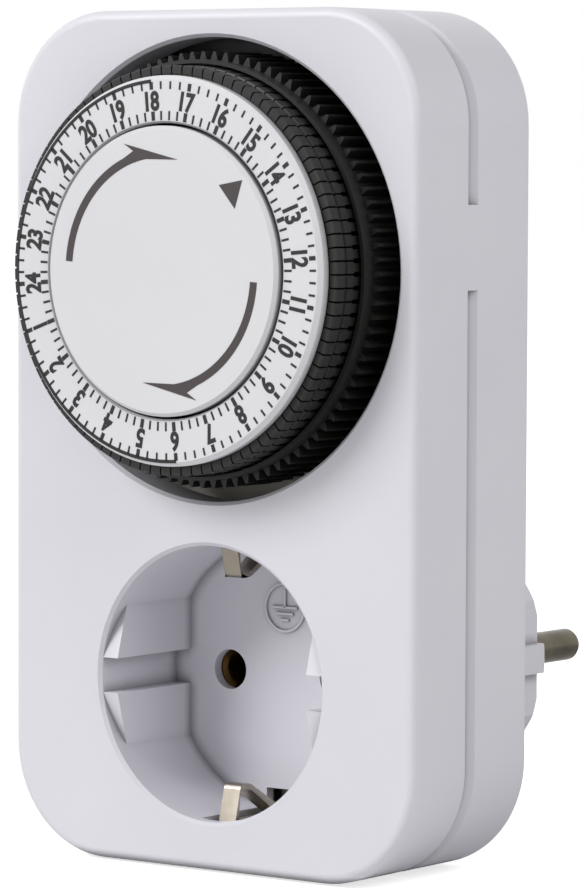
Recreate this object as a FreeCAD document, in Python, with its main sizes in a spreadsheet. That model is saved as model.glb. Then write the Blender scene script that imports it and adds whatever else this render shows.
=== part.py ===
# Plug-in timer switch with a ring of 96 tappets, millimetres.
# The origin is between the roots of the two plug pins, on the plug's end face.
# +Z is up, the dial faces -Y and the pins point along +Y.
import FreeCAD, Part
import Sketcher
import math
import os

Vector = FreeCAD.Vector
Y_AXIS = Vector(0, 1, 0)

DIMENSIONS = {
    # Housing
    "body_width": 71.5,
    "body_height": 121.4,
    "body_depth": 27.8,
    "corner_radius": 16.0,
    "front_edge_radius": 1.4,
    "rear_edge_radius": 1.5,
    "wall": 2.0,
    "front_wall": 2.2,
    "seam_depth": 12.0,
    "seam_inset": 1.5,
    "seam_groove": 1.2,
    "seam_ramp": 1.2,
    "seam_blank_drop": 2.4,
    "seam_blank_height": 11.8,
    "seam_blank_thickness": 2.8,
    # Socket recess in the front cover
    "recess_height": 26.5,
    "recess_radius": 19.6,
    "recess_lip": 0.5,
    "recess_depth": 17.5,
    "recess_wall": 1.6,
    "guide_flat": 16.8,
    "guide_ramp": 2.1,
    "guide_channel": 5.0,
    "pin_spacing": 19.0,
    "pin_hole_radius": 2.9,
    "clip_channel_width": 5.6,
    "clip_channel_depth": 1.5,
    "clip_slot_height": 4.4,
    # Dial opening
    "opening_side": 3.15,
    "opening_top": 3.9,
    "collar_wall": 1.5,
    "collar_depth": 6.0,
    # Plug
    "plug_reach": 31.0,
    "plug_radius": 18.5,
    "plug_flat": 16.36,
    "plug_rib_reach": 18.1,
    "plug_rib_width": 4.3,
    "plug_length": 19.5,
    "plug_edge": 1.0,
    "plug_bore": 14.6,
    "plug_end_wall": 2.5,
    "pedestal_radius": 23.0,
    "pin_radius": 2.4,
    "pin_length": 19.0,
    "pin_root": 7.0,
    "pin_collar_radius": 3.6,
    "pin_collar": 1.6,
    "pin_seat_radius": 2.6,
    "pin_heel_radius": 2.2,
    "pin_tip": 1.0,
    "pin_clearance": 0.05,
    # Dial
    "dial_reach": 10.3,
    "scale_width": 6.6,
    "scale_thickness": 1.75,
    "scale_bevel": 0.6,
    "disc_gap": 0.35,
    "disc_step": 0.8,
    "disc_bevel": 0.5,
    "disc_thickness": 1.9,
    "drum_gap": 0.3,
    "drum_wall": 1.6,
    "web_thickness": 1.6,
    "flange_thickness": 2.0,
    "flange_depth": 0.5,
    "guard_gap": 3.2,
    "guard_wall": 0.55,
    "guard_height": 2.0,
    "hub_radius": 7.0,
    "post_radius": 4.0,
    "post_shoulder": 1.0,
    "running_gap": 0.06,
    "tappet_stem": 1.2,
    "tappet_head_width": 1.6,
    "tappet_gap_outside": 4.1,
    "tappet_depth": 2.1,
    "tappet_lip": 1.4,
    "tappet_head": 8.6,
    "tappet_head_length": 3.9,
    "tappet_tail": 3.3,
    "tappet_travel": 3.0,
    "tappet_gap": 0.12,
    "tappet_groove": 0.4,
    # Gear train
    "gear_gap": 2.6,
    "gear_width": 2.4,
    "gear_depth": 6.6,
    "backlash": 0.12,
    "idler_angle": 42.0,
    "idler_wheel_width": 1.5,
    "motor_angle": 144.0,
    "axle_radius": 1.0,
    "motor_radius": 15.0,
    "motor_cap_thickness": 1.2,
    "motor_rim": 1.0,
    # Movement plate
    "plate_depth": 11.4,
    "plate_thickness": 1.5,
    "plate_side": 3.75,
    "plate_above": 21.6,
    "plate_below": 33.9,
    "plate_corner": 2.0,
    "pillar_radius": 2.6,
    "pillar_inset": 6.75,
    "pillar_above": 16.6,
    "pillar_below": 27.9,
    "screw_radius": 1.3,
    "screw_head_radius": 2.5,
    "screw_head": 1.6,
    "screw_clearance": 0.15,
    "boss_radius": 3.0,
    "boss_inset": 8.35,
    "boss_drop": 8.5,
    "boss_rise": 8.1,
    "boss_gap": 0.2,
    "screw_end_gap": 1.0,
    # Switch
    "lever_length": 22.0,
    "lever_width": 3.6,
    "lever_thickness": 1.2,
    "lever_gap": 0.5,
    "lever_nose": 1.5,
    "lever_pin_radius": 0.8,
    "lever_hub_radius": 1.7,
    "lever_window": 3.0,
    "ear_thickness": 1.2,
    "ear_half_height": 2.0,
    "ear_front": 1.8,
    "plunger_height": 13.5,
    "plunger_radius": 1.1,
    "plunger_stroke": 1.9,
    "switch_width": 7.0,
    "switch_height": 15.0,
    "switch_drop": 10.0,
    "switch_depth": 11.0,
    # Contacts
    "metal": 0.8,
    "clip_length": 13.0,
    "clip_slit": 1.4,
    "bar_width": 4.0,
    "bar_lap": 4.0,
    "tongue_set": 1.5,
    "tongue_ramp": 4.0,
    "tongue_crest": 2.0,
    "tongue_rise": 3.2,
    "strap_width": 4.6,
    "strap_gap": 0.25,
}

TAPPETS = 96
GROUPS = 24
IDLER_TEETH = 16
WHEEL_TEETH = 24
MOTOR_TEETH = 12
PRESSURE_ANGLE = math.radians(20)
TOOTH_ABOVE_PITCH = 0.9
TOOTH_BELOW_PITCH = 1.15
OVERCUT = 1.0

# Sizes that follow the driving ones: the dial fills the width and keeps to the top of the housing
FOLLOWING = {
    "opening_radius": "body_width / 2 - opening_side",
    "dial_height": "body_height - opening_radius - opening_top",
    "dial_place": "dial_height - recess_height",
    "guard_radius": "opening_radius - guard_gap",
    "tappet_outer": "opening_radius - tappet_gap_outside",
    "tappet_inner": "tappet_outer - tappet_depth",
    "scale_outer": "tappet_outer - tappet_lip",
    "scale_inner": "scale_outer - scale_width",
    "disc_radius": "scale_inner - disc_gap",
    "drum_outer": "tappet_inner - drum_gap",
    "gear_module": f"2 * (opening_radius - gear_gap) / {TAPPETS}",
    "lever_radius": "(tappet_outer + tappet_inner) / 2",
    "seam_blank_low": "dial_place - seam_blank_drop",
    "plate_width": "body_width - 2 * plate_side",
    "plate_high": "dial_place + plate_above",
    "plate_low": "dial_place - plate_below",
    "pillar_side": "body_width / 2 - pillar_inset",
    "pillar_high": "dial_place + pillar_above",
    "pillar_low": "dial_place - pillar_below",
    "boss_side": "body_width / 2 - boss_inset",
    "boss_high": "body_height - recess_height - boss_drop",
    "boss_low": "boss_rise - recess_height",
}

doc = FreeCAD.newDocument("plug_in_timer")
sheet = doc.addObject("Spreadsheet::Sheet", "Sizes")
contents = {alias: str(value) for alias, value in DIMENSIONS.items()}
contents.update({alias: f"={formula}" for alias, formula in FOLLOWING.items()})
for row, alias in enumerate(contents, start=1):
    sheet.set(f"A{row}", alias)
    sheet.setAlias(f"B{row}", alias)
for row, content in enumerate(contents.values(), start=1):
    sheet.set(f"B{row}", content)
doc.recompute()


def size(alias):
    """One size, read from the sheet."""
    return float(getattr(sheet, alias))


# Places worked out from the driving dimensions, as numbers and as expressions
FRONT = -(size("plug_reach") + size("body_depth"))
BACK = -size("plug_reach")
DIAL = size("dial_place")
FRONT_TEXT = "-(Sizes.plug_reach + Sizes.body_depth)"
BACK_TEXT = "-Sizes.plug_reach"
SEAM_TEXT = "Sizes.seam_depth - Sizes.plug_reach - Sizes.body_depth"
BOTTOM_TEXT = "-Sizes.recess_height"
TOP_TEXT = "(Sizes.body_height - Sizes.recess_height)"
DIAL_TEXT = "Sizes.dial_place"
SIDE_TEXT = "Sizes.body_width / 2"
SCREW_HOLE_TEXT = "Sizes.screw_radius + Sizes.screw_clearance"
PIN_TEXTS = (("-Sizes.pin_spacing / 2", "0"), ("Sizes.pin_spacing / 2", "0"))

parts = []


def node(thing, label):
    """Names a finished sub-part, which is exported under this name."""
    thing.Label = label
    parts.append(thing)
    return thing


def solid_node(shape, label):
    """A sub-part whose shape is worked out from the sheet's values."""
    thing = doc.addObject("Part::Feature", label)
    thing.Shape = shape
    return node(thing, label)


def origin_plane(body, role):
    for plane in body.Origin.OriginFeatures:
        if plane.Role == role:
            return plane
    raise ValueError(role)


def sketch_on(body, name, role, offset):
    """A sketch parallel to one origin plane of the body, moved to a depth given as an expression."""
    sketch = body.newObject("Sketcher::SketchObject", name)
    sketch.AttachmentSupport = [(origin_plane(body, role), "")]
    sketch.MapMode = "FlatFace"
    sketch.setExpression("AttachmentOffset.Base.z", offset)
    return sketch


def front_sketch(body, name, depth_text):
    """A sketch facing the front, at a place along Y. Its own normal points along -Y."""
    return sketch_on(body, name, "XZ_Plane", f"-({depth_text})")


def name_length(sketch, index, label, text):
    sketch.renameConstraint(index, label)
    sketch.setExpression(f"Constraints.{label}", text)


def add_rounded_rectangle(sketch, prefix, side_text, low_text, high_text, radius_text):
    """Four lines and four arcs, mirrored about the sketch's vertical axis."""
    side = sheet.evalExpression(side_text)
    low = sheet.evalExpression(low_text)
    high = sheet.evalExpression(high_text)
    radius = sheet.evalExpression(radius_text)
    right, left = side - radius, radius - side
    under, over = low + radius, high - radius
    first = sketch.GeometryCount
    normal = Vector(0, 0, 1)

    def arc(x, z, start):
        circle = Part.Circle(Vector(x, z, 0), normal, radius)
        return Part.ArcOfCircle(circle, math.radians(start), math.radians(start + 90))

    sketch.addGeometry([
        Part.LineSegment(Vector(left, low, 0), Vector(right, low, 0)),
        arc(right, under, 270),
        Part.LineSegment(Vector(side, under, 0), Vector(side, over, 0)),
        arc(right, over, 0),
        Part.LineSegment(Vector(right, high, 0), Vector(left, high, 0)),
        arc(left, over, 90),
        Part.LineSegment(Vector(-side, over, 0), Vector(-side, under, 0)),
        arc(left, under, 180),
    ], False)
    line = Sketcher.Constraint
    for k in range(8):
        following = first + (k + 1) % 8
        sketch.addConstraint(line("Tangent", first + k, 2, following, 1))
    for k in (0, 4):
        sketch.addConstraint(line("Horizontal", first + k))
    for k in (2, 6):
        sketch.addConstraint(line("Vertical", first + k))
    for k in (3, 5, 7):
        sketch.addConstraint(line("Equal", first + 1, first + k))
    lengths = (
        ("radius", line("Radius", first + 1, radius), radius_text),
        ("right", line("DistanceX", -1, 1, first + 2, 1, side), side_text),
        ("left", line("DistanceX", first + 6, 1, -1, 1, side), side_text),
        ("low", line("DistanceY", -1, 1, first, 1, low), low_text),
        ("high", line("DistanceY", -1, 1, first + 4, 1, high), high_text),
    )
    for label, constraint, text in lengths:
        index = sketch.addConstraint(constraint)
        name_length(sketch, index, f"{prefix}_{label}", text)


def add_circle(sketch, prefix, x_text, z_text, radius_text):
    x = sheet.evalExpression(x_text)
    z = sheet.evalExpression(z_text)
    radius = sheet.evalExpression(radius_text)
    ring = sketch.addGeometry(Part.Circle(Vector(x, z, 0), Vector(0, 0, 1), radius), False)
    index = sketch.addConstraint(Sketcher.Constraint("Radius", ring, radius))
    name_length(sketch, index, f"{prefix}_radius", radius_text)
    for axis, place, text in (("DistanceX", x, x_text), ("DistanceY", z, z_text)):
        if text == "0":
            on_axis = -2 if axis == "DistanceX" else -1
            sketch.addConstraint(Sketcher.Constraint("PointOnObject", ring, 3, on_axis))
            continue
        index = sketch.addConstraint(Sketcher.Constraint(axis, -1, 1, ring, 3, place))
        name_length(sketch, index, f"{prefix}_{axis}", text)


def add_circles(sketch, prefix, places, radius_text):
    for number, (x_text, z_text) in enumerate(places, start=1):
        add_circle(sketch, f"{prefix}{number}", x_text, z_text, radius_text)


def add_rectangle(sketch, prefix, x_low, x_high, z_low, z_high):
    """A rectangle whose four sides are placed by expressions."""
    values = [sheet.evalExpression(text) for text in (x_low, x_high, z_low, z_high)]
    left, right, low, high = values
    first = sketch.GeometryCount
    corners = (Vector(left, low, 0), Vector(right, low, 0), Vector(right, high, 0), Vector(left, high, 0))
    sides = [Part.LineSegment(corners[k], corners[(k + 1) % 4]) for k in range(4)]
    sketch.addGeometry(sides, False)
    for k in range(4):
        following = first + (k + 1) % 4
        sketch.addConstraint(Sketcher.Constraint("Coincident", first + k, 2, following, 1))
    for k in (0, 2):
        sketch.addConstraint(Sketcher.Constraint("Horizontal", first + k))
    for k in (1, 3):
        sketch.addConstraint(Sketcher.Constraint("Vertical", first + k))
    places = (
        ("left", "DistanceX", first, left, x_low),
        ("right", "DistanceX", first + 1, right, x_high),
        ("low", "DistanceY", first, low, z_low),
        ("high", "DistanceY", first + 2, high, z_high),
    )
    for label, axis, line, place, text in places:
        index = sketch.addConstraint(Sketcher.Constraint(axis, -1, 1, line, 1, place))
        name_length(sketch, index, f"{prefix}_{label}", text)


def pad(body, sketch, length_text):
    """Adds material behind the sketch, along +Y."""
    feature = body.newObject("PartDesign::Pad", sketch.Name + "Pad")
    feature.Profile = sketch
    feature.Reversed = True
    feature.setExpression("Length", length_text)
    sketch.Visibility = False
    doc.recompute()
    return feature


def pocket(body, sketch, length_text, forward=False):
    """Cuts behind the sketch along +Y, or in front of it where forward is set."""
    before = body.Shape.Volume
    feature = body.newObject("PartDesign::Pocket", sketch.Name + "Pocket")
    feature.Profile = sketch
    feature.Reversed = forward
    feature.setExpression("Length", length_text)
    sketch.Visibility = False
    doc.recompute()
    if body.Shape.Volume > before - 0.01:
        raise ValueError(f"{sketch.Name} cuts nothing")
    return feature


def dress_edges(body, kind, name, edges, length_text):
    """Rounds or bevels the named edges of the body as it stands."""
    base = body.Tip
    feature = body.newObject(f"PartDesign::{kind}", name)
    feature.Base = (base, edges)
    feature.setExpression("Radius" if kind == "Fillet" else "Size", length_text)
    doc.recompute()
    return feature


def edges_at(shape, depth):
    """Names of the edges that lie in the plane at this place along Y."""
    names = []
    for number, edge in enumerate(shape.Edges, start=1):
        box = edge.BoundBox
        if abs(box.YMin - depth) < 1e-4 and abs(box.YMax - depth) < 1e-4:
            names.append(f"Edge{number}")
    return names


def screw_places():
    side = size("boss_side")
    return [(x, z) for x in (-side, side) for z in (size("boss_low"), size("boss_high"))]


def screw_place_texts():
    texts = []
    for x_text in ("-Sizes.boss_side", "Sizes.boss_side"):
        for z_text in ("Sizes.boss_low", "Sizes.boss_high"):
            texts.append((x_text, z_text))
    return texts


def front_cover():
    """Front shell with the dial opening and the socket recess moulded in one piece."""
    body = doc.addObject("PartDesign::Body", "front_cover")
    outline = front_sketch(body, "FrontOutline", FRONT_TEXT)
    add_rounded_rectangle(outline, "outline", SIDE_TEXT, BOTTOM_TEXT, TOP_TEXT, "Sizes.corner_radius")
    pad(body, outline, "Sizes.seam_depth")

    dress_edges(body, "Fillet", "FrontEdge", edges_at(body.Shape, FRONT), "Sizes.front_edge_radius")

    inside = front_sketch(body, "FrontInside", f"{FRONT_TEXT} + Sizes.front_wall")
    add_rounded_rectangle(
        inside, "inside", f"{SIDE_TEXT} - Sizes.wall", f"{BOTTOM_TEXT} + Sizes.wall",
        f"{TOP_TEXT} - Sizes.wall", "Sizes.corner_radius - Sizes.wall")
    pocket(body, inside, "Sizes.seam_depth - Sizes.front_wall")

    inner_face = f"{FRONT_TEXT} + Sizes.front_wall / 2"
    collar = front_sketch(body, "DialCollar", inner_face)
    add_circle(collar, "collar", "0", DIAL_TEXT, "Sizes.opening_radius + Sizes.collar_wall")
    pad(body, collar, "Sizes.collar_depth - Sizes.front_wall / 2")

    cup = front_sketch(body, "RecessCup", inner_face)
    add_circle(cup, "cup", "0", "0", "Sizes.recess_radius + Sizes.recess_wall")
    pad(body, cup, "Sizes.recess_depth + Sizes.recess_wall - Sizes.front_wall / 2")

    keeper = front_sketch(body, "ClipKeepers", inner_face)
    reach = "(Sizes.recess_radius + Sizes.clip_channel_depth + Sizes.recess_wall)"
    half = "(Sizes.clip_channel_width / 2 + Sizes.recess_wall)"
    add_rectangle(keeper, "keeper", f"-{half}", half, f"-{reach}", reach)
    pad(body, keeper, "Sizes.recess_depth + Sizes.recess_wall - Sizes.front_wall / 2")

    bosses = front_sketch(body, "FrontBosses", inner_face)
    add_circles(bosses, "boss", screw_place_texts(), "Sizes.boss_radius")
    pad(body, bosses, "Sizes.seam_depth - Sizes.front_wall / 2 - Sizes.boss_gap")
    pilots = front_sketch(body, "FrontPilots", f"{FRONT_TEXT} + Sizes.front_wall")
    add_circles(pilots, "pilot", screw_place_texts(), SCREW_HOLE_TEXT)
    pocket(body, pilots, "Sizes.seam_depth")

    opening = front_sketch(body, "DialOpening", FRONT_TEXT)
    add_circle(opening, "opening", "0", DIAL_TEXT, "Sizes.opening_radius")
    pocket(body, opening, "Sizes.seam_depth")

    bore = front_sketch(body, "RecessBore", FRONT_TEXT)
    add_circle(bore, "bore", "0", "0", "Sizes.recess_radius")
    pocket(body, bore, "Sizes.recess_depth")

    mouths = []
    for name in edges_at(body.Shape, FRONT):
        edge = body.Shape.Edges[int(name[4:]) - 1]
        if edge.Curve.TypeId == "Part::GeomCircle" and edge.Curve.Radius > size("corner_radius"):
            mouths.append(name)
    dress_edges(body, "Chamfer", "MouthLips", mouths, "Sizes.recess_lip")

    for sign, side in (("-", "Left"), ("", "Right")):
        guides = front_sketch(body, f"{side}Guides", f"{FRONT_TEXT} + Sizes.recess_lip")
        add_guides(guides, sign)
        pad(body, guides, "Sizes.recess_depth - Sizes.recess_lip + Sizes.recess_wall / 2")
        ramp = sketch_on(body, f"{side}Ramps", "YZ_Plane", f"{sign}Sizes.guide_flat")
        add_ramps(ramp)
        cut = body.newObject("PartDesign::Pocket", f"{side}RampCut")
        cut.Profile = ramp
        cut.Reversed = sign == ""
        cut.setExpression("Length", "Sizes.recess_radius - Sizes.guide_flat + Sizes.recess_wall / 4")
        doc.recompute()
    mouth = front_sketch(body, "MouthWall", f"{FRONT_TEXT} + Sizes.recess_lip")
    add_circle(mouth, "outside", "0", "0", "Sizes.recess_radius + 2 * Sizes.recess_wall")
    add_circle(mouth, "inside", "0", "0", "Sizes.recess_radius")
    pad(body, mouth, "Sizes.guide_ramp")

    channel = front_sketch(body, "ClipChannels", f"{FRONT_TEXT} + Sizes.front_wall")
    half = "Sizes.clip_channel_width / 2"
    deep = "(Sizes.recess_radius + Sizes.clip_channel_depth)"
    low = "(Sizes.recess_radius - Sizes.clip_channel_depth)"
    add_rectangle(channel, "upper", f"-{half}", half, low, deep)
    add_rectangle(channel, "lower", f"-{half}", half, f"-{deep}", f"-{low}")
    pocket(body, channel, "Sizes.recess_depth - Sizes.front_wall")

    slots = front_sketch(body, "ClipSlots", f"{FRONT_TEXT} + Sizes.recess_depth - Sizes.recess_wall")
    start = "(Sizes.recess_radius + Sizes.clip_channel_depth - Sizes.clip_slot_height)"
    add_rectangle(slots, "upper", f"-{half}", half, start, deep)
    add_rectangle(slots, "lower", f"-{half}", half, f"-{deep}", f"-{start}")
    pocket(body, slots, "3 * Sizes.recess_wall")

    holes = front_sketch(body, "PinHoles", f"{FRONT_TEXT} + Sizes.recess_depth - Sizes.recess_wall")
    add_circles(holes, "hole", PIN_TEXTS, "Sizes.pin_hole_radius")
    pocket(body, holes, "3 * Sizes.recess_wall")
    return node(body, "front_cover")


def add_guides(sketch, sign):
    """Two flat-faced guides on one side of the recess, with the channel for the plug's rib between them."""
    radius = size("recess_radius") + size("recess_wall") / 2
    flat = size("guide_flat")
    half = size("guide_channel") / 2
    reach = math.sqrt(radius ** 2 - flat ** 2)
    mirror = -1 if sign == "-" else 1
    for over in (1, -1):
        corner = Vector(mirror * flat, over * half, 0)
        outer = Vector(mirror * math.sqrt(radius ** 2 - half ** 2), over * half, 0)
        far = Vector(mirror * flat, over * reach, 0)
        middle_angle = (math.atan2(half, outer.x * mirror) + math.atan2(reach, flat)) / 2
        middle = Vector(mirror * radius * math.cos(middle_angle), over * radius * math.sin(middle_angle), 0)
        first = sketch.GeometryCount
        sketch.addGeometry([
            Part.LineSegment(corner, outer),
            Part.Arc(outer, middle, far),
            Part.LineSegment(far, corner),
        ], False)
        sketch.addConstraint(Sketcher.Constraint("Coincident", first, 1, first + 2, 2))


def add_ramps(sketch):
    """The sloping lead-in on the front ends of one pair of guides, in the YZ plane.

    The cut runs past the recess wall, which the mouth's own ring closes again.
    """
    half = size("guide_channel") / 2
    reach = math.sqrt(size("recess_radius") ** 2 - size("guide_flat") ** 2)
    near = FRONT + size("recess_lip")
    for over in (1, -1):
        points = (
            Vector(near, over * half, 0),
            Vector(near + size("guide_ramp"), over * reach, 0),
            Vector(near, over * reach, 0),
        )
        first = sketch.GeometryCount
        sketch.addGeometry([Part.LineSegment(points[k], points[(k + 1) % 3]) for k in range(3)], False)
        for k in range(3):
            following = first + (k + 1) % 3
            sketch.addConstraint(Sketcher.Constraint("Coincident", first + k, 2, following, 1))


def rear_cover():
    """Rear shell, with towers for the screws and pillars for the movement plate."""
    body = doc.addObject("PartDesign::Body", "rear_cover")
    ramp_start = f"{SEAM_TEXT} + Sizes.seam_groove"
    ramp_end = f"{ramp_start} + Sizes.seam_ramp"
    inset_sizes = (
        f"{SIDE_TEXT} - Sizes.seam_inset", f"{BOTTOM_TEXT} + Sizes.seam_inset",
        f"{TOP_TEXT} - Sizes.seam_inset", "Sizes.corner_radius - Sizes.seam_inset")
    groove = front_sketch(body, "SeamGroove", SEAM_TEXT)
    add_rounded_rectangle(groove, "groove", *inset_sizes)
    pad(body, groove, "Sizes.seam_groove")
    inset = front_sketch(body, "SeamInset", ramp_start)
    add_rounded_rectangle(inset, "inset", *inset_sizes)
    full = front_sketch(body, "SeamFull", ramp_end)
    add_rounded_rectangle(full, "full", SIDE_TEXT, BOTTOM_TEXT, TOP_TEXT, "Sizes.corner_radius")
    slope = body.newObject("PartDesign::AdditiveLoft", "SeamSlope")
    slope.Profile = inset
    slope.Sections = [full]
    slope.Ruled = True
    doc.recompute()

    outline = front_sketch(body, "RearOutline", ramp_end)
    add_rounded_rectangle(outline, "outline", SIDE_TEXT, BOTTOM_TEXT, TOP_TEXT, "Sizes.corner_radius")
    pad(body, outline, "Sizes.body_depth - Sizes.seam_depth - Sizes.seam_groove - Sizes.seam_ramp")
    dress_edges(body, "Fillet", "RearEdge", edges_at(body.Shape, BACK), "Sizes.rear_edge_radius")

    blank = front_sketch(body, "SeamBlanks", SEAM_TEXT)
    blank_low = "Sizes.seam_blank_low"
    blank_high = "Sizes.seam_blank_low + Sizes.seam_blank_height"
    near = f"({SIDE_TEXT} - Sizes.seam_blank_thickness)"
    add_rectangle(blank, "right", near, SIDE_TEXT, blank_low, blank_high)
    add_rectangle(blank, "left", f"-({SIDE_TEXT})", f"-{near}", blank_low, blank_high)
    pad(body, blank, "Sizes.seam_groove + Sizes.seam_ramp + Sizes.wall")

    inside = front_sketch(body, "RearInside", SEAM_TEXT)
    add_rounded_rectangle(
        inside, "inside", f"{SIDE_TEXT} - Sizes.wall - Sizes.seam_inset / 2",
        f"{BOTTOM_TEXT} + Sizes.wall + Sizes.seam_inset / 2",
        f"{TOP_TEXT} - Sizes.wall - Sizes.seam_inset / 2",
        "Sizes.corner_radius - Sizes.wall - Sizes.seam_inset / 2")
    pocket(body, inside, "Sizes.body_depth - Sizes.seam_depth - Sizes.wall")

    mouth = front_sketch(body, "PlugMouth", f"{BACK_TEXT} - Sizes.wall")
    add_circle(mouth, "mouth", "0", "0", "Sizes.plug_bore")
    pocket(body, mouth, "2 * Sizes.wall")

    sink_floor = f"{BACK_TEXT} - Sizes.screw_head - 2 * Sizes.screw_clearance"
    tower_length = "Sizes.body_depth - Sizes.seam_depth - Sizes.wall / 2"
    towers = front_sketch(body, "RearBosses", SEAM_TEXT)
    add_circles(towers, "tower", screw_place_texts(), "Sizes.boss_radius")
    pad(body, towers, tower_length)
    holes = front_sketch(body, "RearHoles", SEAM_TEXT)
    add_circles(holes, "hole", screw_place_texts(), SCREW_HOLE_TEXT)
    pocket(body, holes, "Sizes.body_depth")
    sinks = front_sketch(body, "RearSinks", sink_floor)
    add_circles(sinks, "sink", screw_place_texts(), "Sizes.screw_head_radius + Sizes.screw_clearance")
    pocket(body, sinks, "Sizes.screw_head + Sizes.wall")

    plate_back = f"{FRONT_TEXT} + Sizes.plate_depth + Sizes.plate_thickness"
    pillar_length = "Sizes.body_depth - Sizes.plate_depth - Sizes.plate_thickness - Sizes.wall / 2"
    pillars = front_sketch(body, "Pillars", plate_back)
    add_circles(pillars, "pillar", pillar_texts(), "Sizes.pillar_radius")
    pad(body, pillars, pillar_length)
    sockets = front_sketch(body, "PillarPilots", plate_back)
    add_circles(sockets, "pilot", pillar_texts(), SCREW_HOLE_TEXT)
    pocket(body, sockets, "6 * Sizes.screw_radius")

    return node(body, "rear_cover")


def plug_body():
    """Round plug on its pedestal, open towards the housing, with flats, ribs and earth grooves."""
    body = doc.addObject("PartDesign::Body", "plug_body")
    pedestal = front_sketch(body, "Pedestal", BACK_TEXT)
    add_circle(pedestal, "pedestal", "0", "0", "Sizes.pedestal_radius")
    pad(body, pedestal, "Sizes.plug_reach - Sizes.plug_length")
    shoulder = edges_at(body.Shape, -size("plug_length"))
    dress_edges(body, "Chamfer", "PedestalEdge", shoulder, "Sizes.rear_edge_radius")

    plug = front_sketch(body, "PlugBarrel", "-Sizes.plug_length - Sizes.wall / 2")
    add_circle(plug, "barrel", "0", "0", "Sizes.plug_radius")
    pad(body, plug, "Sizes.plug_length + Sizes.wall / 2")
    dress_edges(body, "Chamfer", "PlugRim", edges_at(body.Shape, 0), "Sizes.plug_edge")

    flats = front_sketch(body, "PlugFlats", "-Sizes.plug_length")
    outer = "(Sizes.plug_radius + Sizes.wall)"
    rib = "Sizes.plug_rib_width / 2"
    for first, second, name in ((rib, outer, "upper"), (f"-{outer}", f"-{rib}", "lower")):
        add_rectangle(flats, f"right_{name}", "Sizes.plug_flat", outer, first, second)
        add_rectangle(flats, f"left_{name}", f"-{outer}", "-Sizes.plug_flat", first, second)
    pocket(body, flats, "Sizes.plug_length + Sizes.wall")
    ribs = front_sketch(body, "RibEnds", "-Sizes.plug_length")
    add_rectangle(ribs, "right", "Sizes.plug_rib_reach", outer, f"-{rib}", rib)
    add_rectangle(ribs, "left", f"-{outer}", "-Sizes.plug_rib_reach", f"-{rib}", rib)
    pocket(body, ribs, "Sizes.plug_length + Sizes.wall")

    bore = front_sketch(body, "PlugBore", BACK_TEXT)
    add_circle(bore, "bore", "0", "0", "Sizes.plug_bore")
    pocket(body, bore, "Sizes.plug_reach - Sizes.plug_end_wall")

    seats = front_sketch(body, "PinSeats", "-Sizes.plug_end_wall - Sizes.wall")
    add_circles(seats, "seat", PIN_TEXTS, "Sizes.pin_seat_radius + Sizes.pin_clearance")
    pocket(body, seats, "Sizes.plug_end_wall + 2 * Sizes.wall")

    groove = front_sketch(body, "EarthGrooves", "-Sizes.plug_length")
    half = "(Sizes.strap_width / 2 + Sizes.strap_gap)"
    deep = "(Sizes.plug_radius - Sizes.metal - 2 * Sizes.strap_gap)"
    add_rectangle(groove, "upper", f"-{half}", half, deep, outer)
    add_rectangle(groove, "lower", f"-{half}", half, f"-{outer}", f"-{deep}")
    pocket(body, groove, "Sizes.plug_length + Sizes.wall")
    slot = front_sketch(body, "EarthSlots", "-Sizes.plug_end_wall - 3 * Sizes.metal")
    inner = "(Sizes.plug_bore - Sizes.wall)"
    add_rectangle(slot, "upper", f"-{half}", half, inner, outer)
    add_rectangle(slot, "lower", f"-{half}", half, f"-{outer}", f"-{inner}")
    pocket(body, slot, "2 * Sizes.metal")
    return node(body, "plug_body")


def pillar_texts():
    side = "Sizes.pillar_side"
    return ((side, "Sizes.pillar_high"), (f"-{side}", "Sizes.pillar_high"), (f"-{side}", "Sizes.pillar_low"))


def pillar_places():
    side = size("pillar_side")
    high = size("pillar_high")
    return ((side, high), (-side, high), (-side, size("pillar_low")))


def turned(profile, x=0.0, z=0.0):
    """A turned piece: its profile is a list of (radius, place along Y), swept about a Y axis at x, z."""
    points = [Vector(x + radius, along, z) for radius, along in profile]
    points.append(points[0])
    return Part.Face(Part.makePolygon(points)).revolve(Vector(x, 0, z), Y_AXIS, 360)


def rod(radius, start, end, x=0.0, z=0.0):
    return Part.makeCylinder(radius, end - start, Vector(x, start, z), Y_AXIS)


def block(x_low, x_high, y_low, y_high, z_low, z_high):
    corner = Vector(x_low, y_low, z_low)
    return Part.makeBox(x_high - x_low, y_high - y_low, z_high - z_low, corner)


def involute(angle):
    return math.tan(angle) - angle


def gear(teeth, start, width, turn=0.0, x=0.0, z=0.0):
    """A spur gear about a Y axis: straight flanks drawn between the involute at root and at tip."""
    module = size("gear_module")
    pitch = module * teeth / 2
    base = pitch * math.cos(PRESSURE_ANGLE)
    tip = pitch + TOOTH_ABOVE_PITCH * module
    root = pitch - TOOTH_BELOW_PITCH * module
    half_pitch = math.pi / (2 * teeth) - size("backlash") / (2 * pitch)

    def half_tooth(radius):
        roll = math.acos(min(1.0, base / max(radius, base)))
        return half_pitch + involute(PRESSURE_ANGLE) - involute(roll)

    points = []
    for k in range(teeth):
        centre = turn + 2 * math.pi * k / teeth
        flank = ((root, -1), (tip, -1), (tip, 1), (root, 1))
        for radius, sign in flank:
            angle = centre + sign * half_tooth(radius)
            points.append(Vector(x + radius * math.sin(angle), start, z + radius * math.cos(angle)))
    points.append(points[0])
    return Part.Face(Part.makePolygon(points)).extrude(Vector(0, width, 0))


def idler_place():
    distance = size("gear_module") * (TAPPETS + IDLER_TEETH) / 2
    angle = math.radians(size("idler_angle"))
    return distance * math.sin(angle), DIAL - distance * math.cos(angle)


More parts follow.
